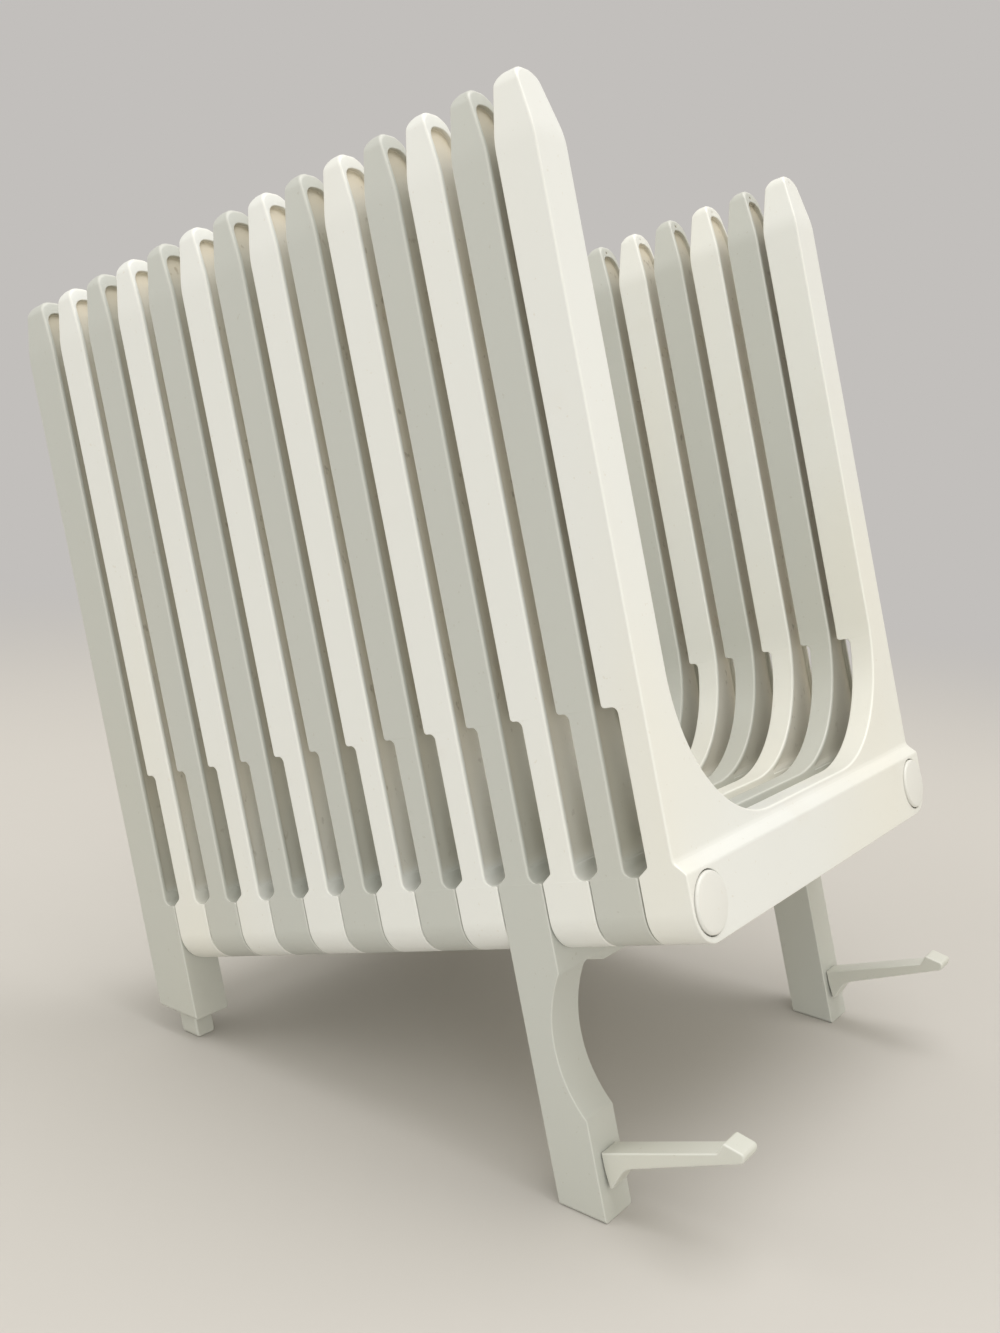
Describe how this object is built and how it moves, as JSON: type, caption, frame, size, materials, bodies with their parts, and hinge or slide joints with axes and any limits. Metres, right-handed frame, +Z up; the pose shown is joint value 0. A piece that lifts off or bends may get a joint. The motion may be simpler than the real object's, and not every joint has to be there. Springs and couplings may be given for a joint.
{
  "type": "bread slicer guide",
  "caption": "Tilted rack of U-shaped plastic frames, alternately grey and white, with knife slots between them that guide a bread knife through a loaf.",
  "frame": {"origin": "centre of the bounding box on the table plane", "axes": "+Z up, -Y to the front where the bar with the caps is, +X to the right seen from the front"},
  "size_m": [0.1474, 0.2374, 0.2507],
  "materials": {
    "white_plastic": "satin moulded",
    "grey_plastic": "satin moulded",
    "cap_plastic": "satin moulded",
    "catch_plastic": "satin moulded",
    "zinc_steel": "zinc plated"
  },
  "bodies": {
    "stack": {"rear_leg_frame": "grey_plastic", "white_frame_02": "white_plastic", "grey_frame_03": "grey_plastic", "white_frame_04": "white_plastic", "grey_frame_05": "grey_plastic", "white_frame_06": "white_plastic", "grey_frame_07": "grey_plastic", "white_frame_08": "white_plastic", "grey_frame_09": "grey_plastic", "white_frame_10": "white_plastic", "white_frame_12": "white_plastic", "grey_frame_13": "grey_plastic", "front_leg_frame": "grey_plastic", "front_frame": "white_plastic", "left_tie_bolt": "zinc_steel", "left_rear_washer": "zinc_steel", "left_front_washer": "zinc_steel", "left_nut": "zinc_steel", "left_end_cap": "cap_plastic", "left_rear_foot": "grey_plastic", "right_tie_bolt": "zinc_steel", "right_rear_washer": "zinc_steel", "right_front_washer": "zinc_steel", "right_nut": "zinc_steel", "right_end_cap": "cap_plastic", "right_rear_foot": "grey_plastic"},
    "left_catch": {"left_catch_arm": "catch_plastic"},
    "right_catch": {"right_catch_arm": "catch_plastic"}
  },
  "joints": [
    {"name": "left_catch_flex", "type": "hinge", "parent": "stack", "child": "left_catch", "pos_m": [-0.0676, -0.08294, 0.0112], "axis": [1, 0, 0], "range_deg": [0, 4], "stiffness_Nm_per_rad": 0.6},
    {"name": "right_catch_flex", "type": "hinge", "parent": "stack", "child": "right_catch", "pos_m": [0.0676, -0.08294, 0.0112], "axis": [1, 0, 0], "range_deg": [0, 4], "stiffness_Nm_per_rad": 0.6}
  ]
}
